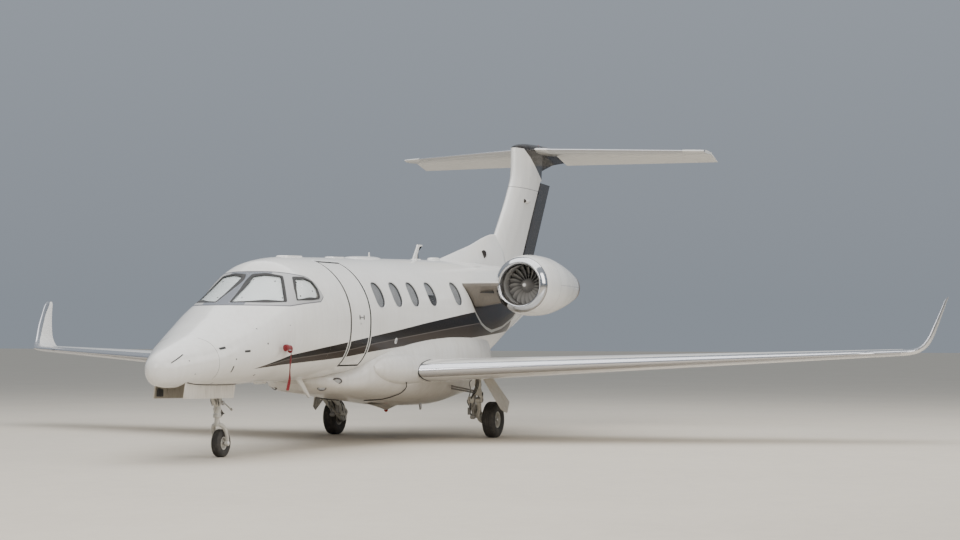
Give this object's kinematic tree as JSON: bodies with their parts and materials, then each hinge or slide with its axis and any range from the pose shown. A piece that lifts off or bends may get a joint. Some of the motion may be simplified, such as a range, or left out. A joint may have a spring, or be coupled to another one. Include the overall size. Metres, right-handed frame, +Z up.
{
  "type": "light twin-engine business jet",
  "caption": "Light business jet with a T-tail, rear-mounted fan engines, winglets and an airstair door, parked on its wheels.",
  "frame": {"origin": "on the ground below the middle of the overall box, on the plane of symmetry", "axes": "+X aft along the fuselage, +Y to starboard, +Z up"},
  "size_m": [15.64, 15.9152, 5.0933],
  "materials": {
    "white_paint": "glossy white enamel, polished bare metal along the leading edges and engine lips",
    "dark_paint": "glossy near-black brown enamel",
    "door_paint": "satin grey-white enamel",
    "gear_paint": "satin grey enamel with bright oleo and pins",
    "tyre_rubber": "matt black grooved rubber",
    "wheel_alloy": "satin forged alloy",
    "fan_blades": "dark satin metal",
    "engine_metal": "heat-stained dull metal",
    "cabin_glass": "clear acrylic with pleated grey shades behind",
    "cockpit_glass": "clear glass with silvery sunshades behind",
    "seat_leather": "tan leather",
    "carpet": "short grey-brown pile"
  },
  "bodies": {
    "airframe": {"cabin_shell": "white_paint", "cockpit_shell": "white_paint", "belly_fairing": "white_paint", "nacelle_port": "white_paint", "nacelle_starboard": "white_paint", "engine_port": "engine_metal", "engine_starboard": "engine_metal", "aft_fuselage": "white_paint", "cabin_windows_starboard": "cabin_glass", "wing_port": "white_paint", "wing_starboard": "white_paint", "cabin_windows_port": "cabin_glass", "fin": "white_paint", "nose_section": "white_paint", "tail_cone": "white_paint", "stabilizer": "white_paint", "tail_cap": "dark_paint", "main_trailing_link_port": "gear_paint", "main_trailing_link_starboard": "gear_paint", "main_leg_port": "gear_paint", "main_leg_starboard": "gear_paint", "nose_leg": "gear_paint", "pylon_port": "white_paint", "pylon_starboard": "white_paint", "pilot_seats": "seat_leather", "club_seats_forward": "seat_leather", "club_seats_aft": "seat_leather", "windscreen_port": "cockpit_glass", "windscreen_starboard": "cockpit_glass", "cabin_floor": "carpet", "winglet_port": "white_paint", "winglet_starboard": "white_paint", "cockpit_side_window_port": "cockpit_glass", "cockpit_side_window_starboard": "cockpit_glass", "tail_under_fairing": "dark_paint", "main_leg_door_port": "door_paint", "main_leg_door_starboard": "door_paint", "nose_gear_door_port": "door_paint", "nose_gear_door_starboard": "door_paint"},
    "nose_steering_fork": {"nose_fork": "gear_paint"},
    "nose_wheel_body": {"nose_tyre": "tyre_rubber", "nose_wheel": "wheel_alloy"},
    "main_wheel_body_port": {"main_tyre_port": "tyre_rubber", "main_wheel_port": "wheel_alloy"},
    "fan_body_port": {"fan_port": "fan_blades"},
    "flap_body_port": {"flap_port": "white_paint"},
    "aileron_body_port": {"aileron_port": "white_paint"},
    "elevator_body_port": {"elevator_port": "white_paint"},
    "main_wheel_body_starboard": {"main_tyre_starboard": "tyre_rubber", "main_wheel_starboard": "wheel_alloy"},
    "fan_body_starboard": {"fan_starboard": "fan_blades"},
    "flap_body_starboard": {"flap_starboard": "white_paint"},
    "aileron_body_starboard": {"aileron_starboard": "white_paint"},
    "elevator_body_starboard": {"elevator_starboard": "white_paint"},
    "airstair_door_body": {"airstair_door": "white_paint"},
    "rudder_body": {"rudder": "dark_paint"}
  },
  "joints": [
    {"name": "nose_steering", "type": "hinge", "parent": "airframe", "child": "nose_steering_fork", "pos_m": [-6.165, 0, 0.5], "axis": [0, 0, 1], "range_deg": [-45, 45]},
    {"name": "nose_wheel_spin", "type": "hinge", "parent": "nose_steering_fork", "child": "nose_wheel_body", "pos_m": [-6.06, 0, 0.178], "axis": [0, 1, 0], "continuous": true},
    {"name": "main_wheel_spin_port", "type": "hinge", "parent": "airframe", "child": "main_wheel_body_port", "pos_m": [0.19, -1.34, 0.276], "axis": [0, 1, 0], "continuous": true},
    {"name": "main_wheel_spin_starboard", "type": "hinge", "parent": "airframe", "child": "main_wheel_body_starboard", "pos_m": [0.19, 1.34, 0.276], "axis": [0, 1, 0], "continuous": true},
    {"name": "fan_spin_port", "type": "hinge", "parent": "airframe", "child": "fan_body_port", "pos_m": [0.97, -1.64, 2.36], "axis": [1, 0, 0], "continuous": true},
    {"name": "fan_spin_starboard", "type": "hinge", "parent": "airframe", "child": "fan_body_starboard", "pos_m": [0.97, 1.64, 2.36], "axis": [1, 0, 0], "continuous": true},
    {"name": "airstair_door_hinge", "type": "hinge", "parent": "airframe", "child": "airstair_door_body", "pos_m": [-3.6875, -0.6737, 1.16], "axis": [1, 0, 0], "range_deg": [0, 125]},
    {"name": "flap_hinge_port", "type": "hinge", "parent": "airframe", "child": "flap_body_port", "pos_m": [0.49347, -2.8225, 1.12904], "axis": [-0.2531, 0.9665, -0.0422], "range_deg": [0, 35]},
    {"name": "aileron_hinge_port", "type": "hinge", "parent": "airframe", "child": "aileron_body_port", "pos_m": [1.27062, -5.79, 1.25875], "axis": [-0.2531, 0.9665, -0.0422], "range_deg": [-22, 16]},
    {"name": "flap_hinge_starboard", "type": "hinge", "parent": "airframe", "child": "flap_body_starboard", "pos_m": [0.49347, 2.8225, 1.12904], "axis": [0.2531, 0.9665, 0.0422], "range_deg": [0, 35]},
    {"name": "aileron_hinge_starboard", "type": "hinge", "parent": "airframe", "child": "aileron_body_starboard", "pos_m": [1.27062, 5.79, 1.25875], "axis": [0.2531, 0.9665, 0.0422], "range_deg": [-22, 16]},
    {"name": "rudder_hinge", "type": "hinge", "parent": "airframe", "child": "rudder_body", "pos_m": [5.545, 0, 3.68], "axis": [0.5587, 0, 0.8294], "range_deg": [-28, 28]},
    {"name": "elevator_hinge_port", "type": "hinge", "parent": "airframe", "child": "elevator_body_port", "pos_m": [6.98, -1.4825, 4.96], "axis": [-0.2483, 0.9687, 0], "range_deg": [-38, 0]},
    {"name": "elevator_hinge_starboard", "type": "hinge", "parent": "airframe", "child": "elevator_body_starboard", "pos_m": [6.98, 1.4825, 4.96], "axis": [0.2483, 0.9687, 0], "range_deg": [-38, 0]}
  ],
  "couplings": [
    {"joint": "elevator_hinge_starboard", "follows": "elevator_hinge_port", "ratio": 1},
    {"joint": "flap_hinge_starboard", "follows": "flap_hinge_port", "ratio": 1}
  ]
}
